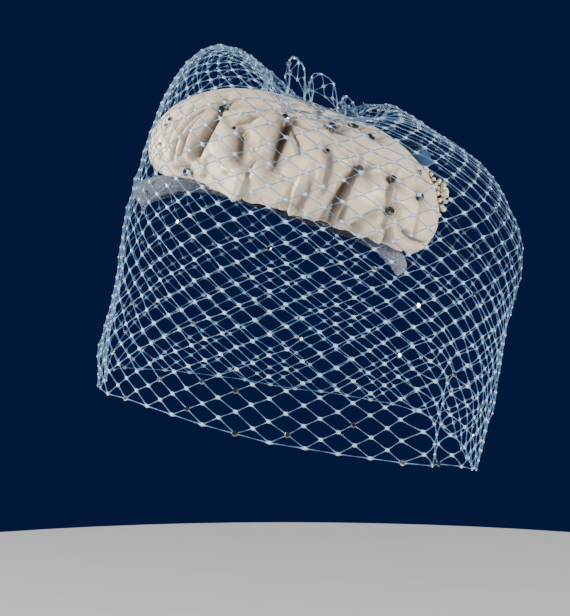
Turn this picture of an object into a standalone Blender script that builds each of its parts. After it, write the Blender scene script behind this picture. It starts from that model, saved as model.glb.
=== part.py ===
# A small pillbox hat of gathered ivory satin, held tilted as it is worn, with a blue net veil.
# The origin is the middle of the rim's opening, +Z is up and the wearer looks along -Y.
# The hat's own frame is the same one tilted by HAT_TILT, so that its +X side hangs lower.

import math

import bmesh
import bpy
from mathutils import Matrix, Vector
from mathutils.bvhtree import BVHTree

MM = 0.001

# Satin crown
HAT_WIDTH = 150 * MM
HAT_DEPTH = 142 * MM
HAT_HEIGHT = 55 * MM
HAT_TILT = math.radians(18)
FOLD_DEPTH = 4.5 * MM
SHELL_WALL = 2.5 * MM
CROWN_SIDES = 80
OUTER_ROWS = 12
INNER_ROWS = 5

# Gap that neighbouring pieces keep
SEAT_GAP = 0.3 * MM

# Grey tulle band inside the rim
BAND_WALL = 1.0 * MM
BAND_INSIDE = 9 * MM
BAND_FRONT_DROP = 2.5 * MM
BAND_SIDE_DROP = 16 * MM
BAND_FLARE = 8 * MM
BAND_SIDES = 40
BAND_ROWS = 3

# Veil of coarse net
VEIL_WIDTH = 236 * MM
VEIL_DEPTH = 200 * MM
VEIL_DROP = 128 * MM
STRAND_THICK = 1.8 * MM
NET_COLUMNS = 11
NET_ROWS = 4
STRAND_CUTS = 1

# Loops of net that stand up from the front edge of the top
LOOP_STRAND_THICK = 1.4 * MM
LOOP_COLUMNS = 2
LOOP_CUTS = 2

# Crystals sewn on the tucks of the satin
CRYSTAL_WIDTH = 4.4 * MM
CRYSTAL_HEIGHT = 2.6 * MM
CRYSTAL_TABLE = 2.4 * MM
CRYSTAL_BASE = 2.0 * MM
CRYSTAL_SIDES = 8

# Spray of seed pearls on the lower side, as one lobed form
BROOCH_LENGTH = 27 * MM
BROOCH_WIDTH = 22 * MM
BROOCH_DOME = 6 * MM
BROOCH_LOBES = 7
BROOCH_LOBE_SHARE = 0.08
BROOCH_SIDES = 28
BROOCH_ROWS = 4
BROOCH_TURN = math.radians(7)
BROOCH_RISE = 0.40

# Blue ribbon bow behind the lower shoulder
RIBBON_WIDTH = 12 * MM
RIBBON_THICK = 1.0 * MM
RIBBON_LOOP = 19 * MM
RIBBON_BELLY = 8 * MM
RIBBON_KNOT = 7 * MM
RIBBON_CUTS = 14
RIBBON_TURN = math.radians(36)
RIBBON_RISE = 0.56

# The crown's outline from the rim to the middle of the top.
# Columns: share of the half width, share of the height.
CROWN_PROFILE = (
    (0.895, 0.0),
    (0.965, 0.09),
    (1.0, 0.27),
    (0.965, 0.47),
    (0.875, 0.655),
    (0.75, 0.79),
    (0.60, 0.895),
    (0.43, 0.96),
    (0.22, 0.99),
    (0.0, 1.0),
)

# Valleys between the gathers that show from the front, from the high side to the low side.
# Columns: degrees round at the rim, degrees round at the top, half width in degrees, share of FOLD_DEPTH.
FRONT_FOLDS = (
    (190, 199, 4.0, 0.55),
    (201, 212, 3.5, 0.70),
    (212, 219, 3.5, 0.60),
    (225, 225, 6.0, 1.00),
    (248, 254, 4.5, 0.85),
    (260, 258, 5.0, 1.00),
    (272, 270, 4.0, 0.75),
    (280, 281, 5.0, 0.60),
    (287, 294, 4.5, 1.00),
    (301, 298, 4.0, 0.45),
    (317, 309, 4.0, 0.70),
    (333, 327, 3.5, 0.60),
)

# The gathers on the hidden side are even.
BACK_FOLDS = 11
BACK_FROM = 348
BACK_TO = 180 + 360
BACK_SPREAD = 5.0
BACK_DEPTH = 0.75
FOLD_LEVEL = 0.50
FOLD_FADE = 0.88

# Tucks in the satin, each with a crystal on it.
# Columns: degrees round, share of the way from the rim to the middle of the top.
TUCKS = (
    (224, 0.490),
    (255.5, 0.570),
    (280.5, 0.610),
    (293.5, 0.385),
    (310.5, 0.390),
    (310.5, 0.235),
    (329, 0.355),
    (340, 0.500),
    (224, 0.075),
    (300, 0.720),
    (311, 0.670),
    (62, 0.560),
    (90, 0.600),
    (128, 0.560),
    (165, 0.520),
)
TUCK_SPREAD = 7 * MM
TUCK_DEPTH_SHARE = 0.8

# The veil's level sections, from just above its seam on the top down to its hem.
# Columns, each 45 degrees on from the one before: low side, low side to back, back, back to high side,
# high side, high side to front, front, front to low side.
# The upper rows follow the tilted hat: how far out, as a share of its half width and half depth,
# and how high, as a share of HAT_HEIGHT.
UPPER_REACH = (
    (0.44, 0.48, 0.46, 0.45, 0.40, 0.49, 0.535, 0.45),
    (0.69, 0.85, 0.73, 0.735, 0.64, 0.81, 0.80, 0.715),
    (1.17, 1.24, 1.01, 1.03, 0.88, 1.05, 0.97, 1.01),
    (1.49, 1.48, 1.18, 1.20, 1.06, 1.15, 1.07, 1.24),
)
UPPER_LEVEL = (
    (1.13, 1.09, 1.13, 1.16, 1.16, 1.09, 1.03, 1.13),
    (1.20, 1.16, 1.20, 1.29, 1.30, 1.16, 0.98, 1.21),
    (0.94, 0.98, 1.00, 1.09, 1.13, 0.96, 0.78, 1.00),
    (0.545, 0.60, 0.51, 0.62, 0.55, 0.51, 0.40, 0.60),
)
# The lower rows hang plumb: how far out, as a share of VEIL_WIDTH / 2 and VEIL_DEPTH / 2, and how
# high, as a share of VEIL_DROP.
LOWER_REACH = (
    (1.0, 0.98, 0.88, 0.835, 0.655, 0.755, 0.80, 0.85),
    (0.95, 0.965, 0.92, 0.885, 0.70, 0.83, 0.88, 0.925),
    (0.875, 0.915, 0.92, 0.925, 0.755, 0.90, 0.96, 0.96),
    (0.79, 0.865, 0.88, 0.935, 0.762, 0.935, 1.0, 0.95),
)
LOWER_LEVEL = (
    (-0.21, -0.09, -0.08, 0.0, 0.015, -0.02, -0.06, -0.08),
    (-0.42, -0.375, -0.33, -0.25, -0.30, -0.33, -0.35, -0.375),
    (-0.72, -0.625, -0.55, -0.47, -0.515, -0.58, -0.64, -0.70),
    (-1.0, -0.836, -0.75, -0.656, -0.68, -0.766, -0.906, -0.984),
)
VEIL_SEAM_RISE = 0.80

# Standing loops: degrees round and rise of the first foot, then of the second foot, then the loop's
# height and its depth from front to back as shares of HAT_HEIGHT.
LOOPS = (
    (221, 0.850, 247, 0.870, 0.34, 0.20),
    (256, 0.865, 298, 0.865, 0.27, 0.20),
    (312, 0.865, 334, 0.850, 0.20, 0.16),
)

TILT = Matrix.Rotation(HAT_TILT, 4, "Y")


def clear_scene():
    for obj in list(bpy.data.objects):
        bpy.data.objects.remove(obj)


def new_collection(name):
    collection = bpy.data.collections.new(name)
    bpy.context.scene.collection.children.link(collection)
    return collection


def make_material(name, color, roughness, metallic=0.0):
    material = bpy.data.materials.new(name)
    material.use_nodes = True
    shader = material.node_tree.nodes["Principled BSDF"]
    shader.inputs["Base Color"].default_value = (*color, 1.0)
    shader.inputs["Roughness"].default_value = roughness
    shader.inputs["Metallic"].default_value = metallic
    material.diffuse_color = (*color, 1.0)
    return material


def add_object(name, mesh, material, collection, matrix=None):
    obj = bpy.data.objects.new(name, mesh)
    if matrix is not None:
        obj.matrix_world = matrix
    if not mesh.materials:
        mesh.materials.append(material)
    collection.objects.link(obj)
    return obj


def mesh_from(shape, name, smooth=True):
    mesh = bpy.data.meshes.new(name)
    shape.to_mesh(mesh)
    shape.free()
    if smooth:
        mesh.shade_smooth()
    return mesh


# A smooth step from here to there, led by the values on either side of them.
def smooth_step(before, here, there, after, t):
    return (
        here * 2
        + (there - before) * t
        + (before * 2 - here * 5 + there * 4 - after) * t**2
        + (here * 3 - before - there * 3 + after) * t**3
    ) / 2


# A point on the smooth curve through a table's rows, at a share of the way along the table.
def along(rows, share):
    last = len(rows) - 1
    place = min(max(share, 0.0), 1.0) * last
    start = min(int(place), last - 1)
    near = [Vector(rows[min(max(start + step, 0), last)]) for step in (-1, 0, 1, 2)]
    return smooth_step(*near, place - start)


# A value from a row whose columns go round the hat, at this turn.
def around(row, turn):
    place = turn / (2 * math.pi) % 1.0 * len(row)
    start = int(place)
    near = [row[(start + step) % len(row)] for step in (-1, 0, 1, 2)]
    return smooth_step(*near, place - start)


def degrees_apart(one, other):
    return (one - other + 180) % 360 - 180


def bell(offset, spread):
    return math.exp(-((offset / spread) ** 2))


def fade_between(value, full, gone):
    share = min(max((gone - value) / (gone - full), 0.0), 1.0)
    return share * share * (3 - 2 * share)


def back_folds():
    step = (BACK_TO - BACK_FROM) / BACK_FOLDS
    middles = [BACK_FROM + step * (k + 0.5) for k in range(BACK_FOLDS)]
    return [(turn, turn, BACK_SPREAD, BACK_DEPTH) for turn in middles]


# A point of the crown's shell in the hat's own frame: sink is how far it lies inside the outline.
def shell_point(turn, rise, sink=0.0):
    across, up = along(CROWN_PROFILE, rise)
    return Vector(
        (
            (HAT_WIDTH / 2 - sink) * across * math.cos(turn),
            (HAT_DEPTH / 2 - sink) * across * math.sin(turn),
            (HAT_HEIGHT - sink) * up,
        )
    )


# How deep the satin lies below the outline, as a share of FOLD_DEPTH.
def fold_share(turn, rise):
    around = math.degrees(turn)
    valley = 0.0
    for at_rim, at_top, spread, depth in (*FRONT_FOLDS, *back_folds()):
        line = at_rim + (at_top - at_rim) * rise
        valley = max(valley, depth * bell(degrees_apart(around, line), spread))
    share = valley * fade_between(rise, FOLD_LEVEL, FOLD_FADE)
    here = shell_point(turn, rise)
    for tuck_turn, tuck_rise in TUCKS:
        apart = (here - shell_point(math.radians(tuck_turn), tuck_rise)).length
        share = max(share, TUCK_DEPTH_SHARE * bell(apart, TUCK_SPREAD))
    return min(share, 1.0)


def satin_point(turn, rise):
    return shell_point(turn, rise, FOLD_DEPTH * fold_share(turn, rise))


def outward(surface, turn, rise, step=0.01):
    sideways = surface(turn + step, rise) - surface(turn - step, rise)
    upwards = surface(turn, rise + step) - surface(turn, rise - step)
    return sideways.cross(upwards).normalized()


# A dome of sides by rows faces whose vertices are put where place(turn, rise) says.
def dome(sides, rows, place):
    shape = bmesh.new()
    bmesh.ops.create_uvsphere(shape, u_segments=sides, v_segments=rows * 2, radius=1)
    low = [v for v in shape.verts if v.co.z < -0.001]
    bmesh.ops.delete(shape, geom=low, context="VERTS")
    for v in shape.verts:
        turn = math.atan2(v.co.y, v.co.x)
        rise = math.asin(min(max(v.co.z, 0.0), 1.0)) / (math.pi / 2)
        v.co = place(turn, rise)
    return shape


# Returns the crown's object and its outside as a tree, which the stones are seated on.
def build_crown(collection, material):
    outer = dome(CROWN_SIDES, OUTER_ROWS, satin_point)
    outside = BVHTree.FromBMesh(outer)
    inner_sink = FOLD_DEPTH + SHELL_WALL
    inner = dome(CROWN_SIDES, INNER_ROWS, lambda turn, rise: shell_point(turn, rise, inner_sink))
    bmesh.ops.reverse_faces(inner, faces=inner.faces)
    lining = mesh_from(inner, "crown_inside")
    outer.from_mesh(lining)
    bpy.data.meshes.remove(lining)
    rims = [e for e in outer.edges if e.is_boundary]
    bmesh.ops.bridge_loops(outer, edges=rims)
    bmesh.ops.recalc_face_normals(outer, faces=outer.faces)
    return add_object("crown", mesh_from(outer, "crown"), material, collection, TILT), outside


# The band follows the inside of the crown, then flares below the rim at the two sides.
# Its first row of faces ends just below the rim.
def band_point(turn, share):
    side = math.cos(turn) ** 4
    drop = BAND_FRONT_DROP + (BAND_SIDE_DROP - BAND_FRONT_DROP) * side
    below = max(share * BAND_ROWS - 1, 0.0) / (BAND_ROWS - 1)
    inside = max(1 - share * BAND_ROWS, 0.0)
    height = BAND_INSIDE * inside - SEAT_GAP - (drop - SEAT_GAP) * below
    rim = shell_point(turn, 0.0, FOLD_DEPTH + SHELL_WALL + SEAT_GAP)
    flare = BAND_FLARE * side * max(-height / BAND_SIDE_DROP, 0.0)
    flat = Vector((rim.x, rim.y, 0.0))
    return flat + flat.normalized() * flare + Vector((0.0, 0.0, height))


def build_band(collection, material):
    shape = bmesh.new()
    bmesh.ops.create_grid(shape, x_segments=BAND_SIDES, y_segments=BAND_ROWS, size=0.5)
    for v in shape.verts:
        v.co = band_point(2 * math.pi * (v.co.x + 0.5), 0.5 - v.co.y)
    bmesh.ops.remove_doubles(shape, verts=shape.verts, dist=1e-6)
    bmesh.ops.recalc_face_normals(shape, faces=shape.faces)
    band = add_object("inner_band", mesh_from(shape, "inner_band"), material, collection, TILT)
    wall = band.modifiers.new("tulle", "SOLIDIFY")
    wall.thickness = BAND_WALL
    wall.offset = -1
    return band


# The points of the veil's sections at this turn.
def section_points(reach_rows, level_rows, turn, width, depth, height):
    return [
        Vector(
            (
                around(reach, turn) * width / 2 * math.cos(turn),
                around(reach, turn) * depth / 2 * math.sin(turn),
                around(level, turn) * height,
            )
        )
        for reach, level in zip(reach_rows, level_rows)
    ]


# The places that the veil passes at this turn, from its seam on the top to its hem.
def veil_guide(turn, thick):
    straights = NET_COLUMNS * (STRAND_CUTS + 1)
    seam_radius = HAT_WIDTH / 2 * along(CROWN_PROFILE, VEIL_SEAM_RISE)[0]
    bow = seam_radius * (1 - math.cos(math.pi / straights))
    lift = SEAT_GAP + thick / 2 + bow
    seam = shell_point(turn, VEIL_SEAM_RISE) + outward(shell_point, turn, VEIL_SEAM_RISE) * lift
    upper = section_points(UPPER_REACH, UPPER_LEVEL, turn, HAT_WIDTH, HAT_DEPTH, HAT_HEIGHT)
    lower = section_points(LOWER_REACH, LOWER_LEVEL, turn, VEIL_WIDTH, VEIL_DEPTH, VEIL_DROP)
    return [TILT @ p for p in (seam, *upper)] + lower


# A point of the veil: drop goes from 0 at the seam to 1 at the hem, by length along the net.
def veil_point(turn, drop, thick, samples=36):
    guide = veil_guide(turn, thick)
    line = [along(guide, k / samples) for k in range(samples + 1)]
    lengths = [0.0]
    for one, other in zip(line, line[1:]):
        lengths.append(lengths[-1] + (other - one).length)
    target = drop * lengths[-1]
    k = next(k for k in range(1, samples + 1) if lengths[k] >= target or k == samples)
    share = (target - lengths[k - 1]) / (lengths[k] - lengths[k - 1])
    return line[k - 1].lerp(line[k], min(share, 1.0))


# Turns a sheet or ring of squares into diamonds: the squares' own sides go, and the lines from
# their corners to their middles stay as the strands.
def make_diamonds(shape, cuts):
    square_sides = list(shape.edges)
    bmesh.ops.poke(shape, faces=shape.faces)
    bmesh.ops.dissolve_edges(shape, edges=[e for e in square_sides if not e.is_boundary])
    bmesh.ops.bisect_edges(shape, edges=shape.edges, cuts=cuts)


# Opens the cells of a placed net, which leaves a ribbon of this width along each strand.
def open_cells(shape, width):
    bmesh.ops.recalc_face_normals(shape, faces=shape.faces)
    cells = list(shape.faces)
    bmesh.ops.inset_individual(shape, faces=cells, thickness=width / 2, use_even_offset=True)
    bmesh.ops.delete(shape, geom=cells, context="FACES_ONLY")


def add_strand_depth(obj, depth):
    strands = obj.modifiers.new("strands", "SOLIDIFY")
    strands.thickness = depth
    strands.offset = 0


def build_veil(collection, material):
    shape = bmesh.new()
    bmesh.ops.create_cone(shape, segments=NET_COLUMNS, radius1=1, radius2=1, depth=1)
    upright = [e for e in shape.edges if abs(e.verts[0].co.z - e.verts[1].co.z) > 0.5]
    bmesh.ops.subdivide_edges(shape, edges=upright, cuts=NET_ROWS - 1, use_grid_fill=True)
    make_diamonds(shape, STRAND_CUTS)
    for v in shape.verts:
        v.co = veil_point(math.atan2(v.co.y, v.co.x), 0.5 - v.co.z, STRAND_THICK)
    open_cells(shape, STRAND_THICK)
    veil = add_object("veil", mesh_from(shape, "veil", smooth=False), material, collection)
    add_strand_depth(veil, STRAND_THICK)
    return veil


# A loop of net is an arch from one foot to the other, and its net runs from front to back.
def build_loop(name, row, outside, collection, material):
    from_turn, from_rise, to_turn, to_rise, height, deep = row
    first = shell_point(math.radians(from_turn), from_rise)
    second = shell_point(math.radians(to_turn), to_rise)

    def place(across, down):
        swell = math.sin(math.pi * across)
        pinch = 0.2 * math.sin(2 * math.pi * across) * swell
        x, y, _ = first.lerp(second, across - pinch)
        y += deep * HAT_HEIGHT * (0.3 + 0.7 * swell) * down
        satin = outside.ray_cast(Vector((x, y, 2 * HAT_HEIGHT)), Vector((0.0, 0.0, -1.0)))[0]
        lift = SEAT_GAP + LOOP_STRAND_THICK / 2
        return Vector((x, y, satin.z + lift + height * HAT_HEIGHT * swell**0.7))

    shape = bmesh.new()
    bmesh.ops.create_grid(shape, x_segments=LOOP_COLUMNS, y_segments=1, size=0.5)
    make_diamonds(shape, LOOP_CUTS)
    for v in shape.verts:
        v.co = place(v.co.x + 0.5, v.co.y + 0.5)
    open_cells(shape, LOOP_STRAND_THICK)
    loop = add_object(name, mesh_from(shape, name, smooth=False), material, collection, TILT)
    add_strand_depth(loop, LOOP_STRAND_THICK)
    return loop


# A frame whose +Z stands out of a surface of the hat at this place.
def seat_on(surface, turn, rise, gap):
    normal = outward(surface, turn, rise)
    point = surface(turn, rise) + normal * gap
    side = Vector((0.0, 0.0, 1.0)).cross(normal).normalized()
    basis = Matrix((side, normal.cross(side), normal)).transposed()
    return TILT @ Matrix.Translation(point) @ basis.to_4x4()


# The same frame, lowered until a piece of these radii and heights meets the satin's own faces.
def seat_on_satin(turn, rise, rings, outside, checks=16):
    seat = TILT.inverted() @ seat_on(shell_point, turn, rise, 0.0)
    down = -seat.col[2].xyz
    level = -FOLD_DEPTH
    for radius, height in rings:
        for k in range(checks):
            around = 2 * math.pi * k / checks
            start = seat @ Vector((radius * math.cos(around), radius * math.sin(around), FOLD_DEPTH))
            hit = outside.ray_cast(start, down)[0]
            level = max(level, (seat.inverted() @ hit).z - height)
    return TILT @ seat @ Matrix.Translation((0.0, 0.0, level + SEAT_GAP))


def build_crystals(outside, collection, material):
    girdle = CRYSTAL_WIDTH / 2
    rings = ((girdle, CRYSTAL_HEIGHT * 0.42), (CRYSTAL_BASE / 2, 0.0))
    profile = (
        (0.0, CRYSTAL_HEIGHT),
        (CRYSTAL_TABLE / 2, CRYSTAL_HEIGHT),
        (girdle, CRYSTAL_HEIGHT * 0.55),
        *rings,
        (0.0, 0.0),
    )
    mesh = bpy.data.meshes.new("crystal")
    points = [(r, 0.0, z) for r, z in profile]
    mesh.from_pydata(points, [(k, k + 1) for k in range(len(points) - 1)], [])
    for number, (turn, rise) in enumerate(TUCKS, start=1):
        seat = seat_on_satin(math.radians(turn), rise, rings, outside)
        stone = add_object(f"tuck_crystal_{number:02d}", mesh, material, collection, seat)
        facets = stone.modifiers.new("facets", "SCREW")
        facets.steps = CRYSTAL_SIDES
        facets.render_steps = CRYSTAL_SIDES
        facets.use_merge_vertices = True
        facets.merge_threshold = 1e-5
        facets.use_smooth_shade = False
        facets.use_normal_calculate = True


def build_brooch(collection, material):
    def place(turn, rise):
        level = rise * math.pi / 2
        edge = 1 + BROOCH_LOBE_SHARE * (math.cos(BROOCH_LOBES * turn) - 1) * math.cos(level)
        return Vector(
            (
                BROOCH_WIDTH / 2 * edge * math.cos(level) * math.cos(turn),
                BROOCH_LENGTH / 2 * edge * math.cos(level) * math.sin(turn),
                BROOCH_DOME * math.sin(level),
            )
        )

    shape = dome(BROOCH_SIDES, BROOCH_ROWS, place)
    bmesh.ops.holes_fill(shape, edges=[e for e in shape.edges if e.is_boundary])
    bmesh.ops.recalc_face_normals(shape, faces=shape.faces)
    seat = seat_on(shell_point, BROOCH_TURN, BROOCH_RISE, SEAT_GAP)
    return add_object("pearl_spray", mesh_from(shape, "pearl_spray"), material, collection, seat)


# One loop of the bow lies along +X from the knot, and its ribbon is as wide along Y.
def ribbon_loop_point(share, across, way):
    gap = SEAT_GAP + RIBBON_THICK
    length = RIBBON_LOOP * (1 - math.cos(2 * math.pi * share)) / 2
    height = RIBBON_BELLY / 2 * math.sin(2 * math.pi * share) + gap * (0.5 - share)
    start = RIBBON_KNOT / 2 + SEAT_GAP + RIBBON_THICK / 2
    flare = 0.6 + 0.4 * length / RIBBON_LOOP
    lift = RIBBON_BELLY / 2 + RIBBON_THICK
    return Vector((way * (start + length), across * RIBBON_WIDTH * flare, lift + height))


def build_bow(outside, collection, material):
    rings = ((RIBBON_WIDTH / 2, 0.0), (RIBBON_KNOT / 2 + RIBBON_LOOP / 2, RIBBON_THICK / 2))
    seat = seat_on_satin(RIBBON_TURN, RIBBON_RISE, rings, outside)
    for name, way in (("ribbon_loop_1", 1), ("ribbon_loop_2", -1)):
        shape = bmesh.new()
        bmesh.ops.create_grid(shape, x_segments=RIBBON_CUTS, y_segments=1, size=0.5)
        for v in shape.verts:
            v.co = ribbon_loop_point(v.co.x + 0.5, v.co.y, way)
        loop = add_object(name, mesh_from(shape, name), material, collection, seat)
        wall = loop.modifiers.new("ribbon", "SOLIDIFY")
        wall.thickness = RIBBON_THICK
        wall.offset = 0
    shape = bmesh.new()
    bmesh.ops.create_cube(shape, size=1)
    tall = RIBBON_BELLY / 2 + 3 * RIBBON_THICK
    bmesh.ops.scale(shape, verts=shape.verts, vec=(RIBBON_KNOT, RIBBON_WIDTH * 0.75, tall))
    bmesh.ops.translate(shape, verts=shape.verts, vec=(0, 0, tall / 2))
    knot = add_object("ribbon_knot", mesh_from(shape, "ribbon_knot"), material, collection, seat)
    rounding = knot.modifiers.new("round edges", "BEVEL")
    rounding.width = RIBBON_KNOT / 4
    rounding.segments = 2


def main():
    clear_scene()
    hat = new_collection("pillbox_hat")
    satin = make_material("ivory_satin", (0.80, 0.72, 0.62), 0.42)
    tulle = make_material("grey_tulle", (0.45, 0.45, 0.50), 0.6)
    net = make_material("blue_net", (0.42, 0.60, 0.72), 0.45)
    crystal = make_material("dark_crystal", (0.16, 0.20, 0.22), 0.08)
    pearl = make_material("seed_pearls", (0.82, 0.74, 0.55), 0.3)
    ribbon = make_material("blue_ribbon", (0.05, 0.22, 0.48), 0.35)
    outside = build_crown(hat, satin)[1]
    build_band(hat, tulle)
    build_veil(hat, net)
    for number, row in enumerate(LOOPS, start=1):
        build_loop(f"veil_loop_{number}", row, outside, hat, net)
    build_crystals(outside, hat, crystal)
    build_brooch(hat, pearl)
    build_bow(outside, hat, ribbon)


main()
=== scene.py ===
# A small pillbox hat of gathered ivory satin with a pale blue net veil, as it is worn
import math
import random

import bmesh
import bpy
import numpy as np
from mathutils import Matrix, Vector, noise
from mathutils.bvhtree import BVHTree


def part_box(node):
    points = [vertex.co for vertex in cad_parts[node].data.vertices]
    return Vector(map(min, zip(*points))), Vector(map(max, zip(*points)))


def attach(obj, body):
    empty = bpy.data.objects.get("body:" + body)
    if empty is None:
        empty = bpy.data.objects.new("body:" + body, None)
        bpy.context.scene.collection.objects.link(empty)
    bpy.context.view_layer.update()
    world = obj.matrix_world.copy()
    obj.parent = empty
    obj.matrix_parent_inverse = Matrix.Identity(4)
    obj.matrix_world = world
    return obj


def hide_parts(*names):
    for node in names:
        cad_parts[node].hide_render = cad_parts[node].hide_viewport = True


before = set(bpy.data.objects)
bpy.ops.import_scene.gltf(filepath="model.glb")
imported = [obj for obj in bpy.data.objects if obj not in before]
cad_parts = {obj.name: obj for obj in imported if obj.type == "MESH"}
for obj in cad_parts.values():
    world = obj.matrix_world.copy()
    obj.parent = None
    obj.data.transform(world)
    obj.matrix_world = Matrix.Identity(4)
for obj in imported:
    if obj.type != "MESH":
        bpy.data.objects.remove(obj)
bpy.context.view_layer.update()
mm = 0.001

# The picture's size, the pixel that shows the frame's origin, and the size of a pixel there
photo = {"width": 570, "height": 616, "originX": 284.5, "originY": 212.0, "pixel": 0.5 * mm}
view = {"distance": 900 * mm, "sensor": 36.0, "nearest": 10 * mm}

hat = {
    "halfWidth": 75 * mm,
    "halfDepth": 71 * mm,
    "height": 55 * mm,
    "tilt": math.radians(18),
    # share of the half width, share of the height, from the rim to the middle of the top
    "profile": (
        (0.895, 0.0), (0.965, 0.09), (1.0, 0.27), (0.965, 0.47), (0.875, 0.655),
        (0.75, 0.79), (0.60, 0.895), (0.43, 0.96), (0.22, 0.99), (0.0, 1.0),
    ),
}
tilt = Matrix.Rotation(hat["tilt"], 4, "Y")
tiltArray = np.array(tilt.to_3x3())


# Smooth curves and surfaces, on whole arrays

def smoothStep(before, here, there, after, t):
    return (
        here * 2
        + (there - before) * t
        + (before * 2 - here * 5 + there * 4 - after) * t**2
        + (here * 3 - before - there * 3 + after) * t**3
    ) / 2


def along(rows, share):  # points of the smooth curve through the rows
    rows = np.asarray(rows, float)
    share = np.clip(np.asarray(share, float), 0, 1)
    last = len(rows) - 1
    place = share * last
    start = np.minimum(place.astype(int), last - 1)
    t = (place - start).reshape(place.shape + (1,) * (rows.ndim - 1))
    near = [rows[np.clip(start + step, 0, last)] for step in (-1, 0, 1, 2)]
    return smoothStep(*near, t)


def around(row, turn):  # values of a row whose columns go round the hat
    row = np.asarray(row, float)
    place = (np.asarray(turn, float) / (2 * math.pi)) % 1.0 * len(row)
    start = place.astype(int)
    near = [row[(start + step) % len(row)] for step in (-1, 0, 1, 2)]
    return smoothStep(*near, place - start)


def fade(value, full, gone):
    share = np.clip((gone - value) / (gone - full), 0, 1)
    return share * share * (3 - 2 * share)


def unit(vectors):
    return vectors / np.maximum(np.linalg.norm(vectors, axis=-1, keepdims=True), 1e-12)


def outline(turn, rise, sink=0.0):  # the crown's smooth outline in the hat's own frame
    shape = along(hat["profile"], rise)
    across, up = shape[..., 0], shape[..., 1]
    return np.stack(
        (
            (hat["halfWidth"] - sink) * across * np.cos(turn),
            (hat["halfDepth"] - sink) * across * np.sin(turn),
            (hat["height"] - sink) * up,
        ),
        axis=-1,
    )


def outlineNormal(turn, rise, step=0.004):
    turn, rise = np.broadcast_arrays(np.asarray(turn, float), np.asarray(rise, float))
    sideways = np.stack(
        (-hat["halfWidth"] * np.sin(turn), hat["halfDepth"] * np.cos(turn), np.zeros_like(turn)), -1
    )
    upwards = outline(turn, rise + step) - outline(turn, rise - step)
    return unit(np.cross(sideways, upwards))


def toWorld(points):
    return np.asarray(points) @ tiltArray.T


def toHat(points):
    return np.asarray(points) @ tiltArray


def ringGrid(columns, shares):  # the turn round the hat of each column and the share of each row
    return np.meshgrid(np.arange(columns) * 2 * math.pi / columns, shares, indexing="xy")


def ringNoise(turn, rise, busy, tall, start=0.0, narrowing=0.0):
    # smooth noise without a seam round the hat: how busy it is round and up, where it starts,
    # and how much less busy it is at the top
    across = busy * np.cos(turn) * (1 - narrowing * rise)
    deep = busy * np.sin(turn) * (1 - narrowing * rise)
    up = tall * rise + start
    values = [noise.noise(Vector(point)) for point in zip(across.ravel(), deep.ravel(), up.ravel())]
    return np.array(values).reshape(turn.shape)


# Meshes and pieces

def addObject(name, data):
    added = bpy.data.objects.new(name, data)
    bpy.context.collection.objects.link(added)
    return added


def addPiece(name, points, faces, material, smooth=True):
    mesh = bpy.data.meshes.new(name)
    mesh.from_pydata([tuple(p) for p in points], [], faces)
    mesh.materials.append(material)
    if smooth:
        mesh.shade_smooth()
    return addObject(name, mesh)


def paint(piece, name, values):  # one number for each vertex, for its material to read
    layer = piece.data.attributes.new(name, "FLOAT", "POINT")
    layer.data.foreach_set("value", np.asarray(values, np.float32))


def gridFaces(rows, columns, closed, first=0):
    faces = []
    for r in range(rows - 1):
        for c in range(columns if closed else columns - 1):
            right = (c + 1) % columns
            a, b = first + r * columns + c, first + r * columns + right
            faces.append((a, b, b + columns, a + columns))
    return faces


def deselectAll():
    bpy.ops.object.select_all(action="DESELECT")


def settle(piece, replaced=()):
    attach(piece, "root")
    if replaced:
        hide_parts(*replaced)


# Materials

class Value:  # a shader's socket, on which sums can be written
    def __init__(self, shader, socket):
        self.shader, self.socket = shader, socket

    def sum(self, operation, one, other):
        return self.shader.node("Math", {"operation": operation}, {0: one, 1: other})

    def __add__(self, other):
        return self.sum("ADD", self, other)

    def __sub__(self, other):
        return self.sum("SUBTRACT", self, other)

    def __rsub__(self, other):
        return self.sum("SUBTRACT", other, self)

    def __mul__(self, other):
        return self.sum("MULTIPLY", self, other)

    __radd__ = __add__
    __rmul__ = __mul__


class Shader:
    def __init__(self, name, **finish):
        self.material = bpy.data.materials.new(name)
        self.material.use_nodes = True
        self.tree = self.material.node_tree
        self.surface = self.tree.nodes["Principled BSDF"]
        self.finish(finish)

    def finish(self, sockets):
        for name, value in sockets.items():
            words = [w if w == "IOR" else w.capitalize() for w in name.split("_")]
            self.put(self.surface.inputs[" ".join(words)], value)

    def put(self, socket, value):
        if isinstance(value, Value):
            self.tree.links.new(value.socket, socket)
        else:
            socket.default_value = value

    def node(self, kind, settings=None, inputs=None, output=0):
        node = self.tree.nodes.new("ShaderNode" + kind)
        for name, value in (settings or {}).items():
            setattr(node, name, value)
        for name, value in (inputs or {}).items():
            self.put(node.inputs[name], value)
        return Value(self, node.outputs[output])

    def place(self, scale=(1, 1, 1)):
        coordinates = self.node("TexCoord", output="Object")
        return self.node("Mapping", None, {"Vector": coordinates, "Scale": scale})

    def noise(self, scale, detail=2.0, stretch=(1, 1, 1), rough=0.5):
        inputs = {"Vector": self.place(stretch), "Scale": scale, "Detail": detail, "Roughness": rough}
        return self.node("TexNoise", None, inputs, "Fac")

    def painted(self, name):
        return self.node("Attribute", {"attribute_name": name}, None, "Fac")

    def blend(self, share, one, other):
        return self.node("Mix", {"data_type": "RGBA"}, {0: share, 6: one, 7: other}, 2)

    def bump(self, height, distance, strength=1.0):
        inputs = {"Height": height, "Distance": distance, "Strength": strength}
        return self.node("Bump", None, inputs, "Normal")


def color(red, green, blue):  # screen values of 0 to 255 as a shader's colour
    linear = [((c / 255 + 0.055) / 1.055) ** 2.4 if c > 10 else c / 3295 for c in (red, green, blue)]
    return (*linear, 1.0)


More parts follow.
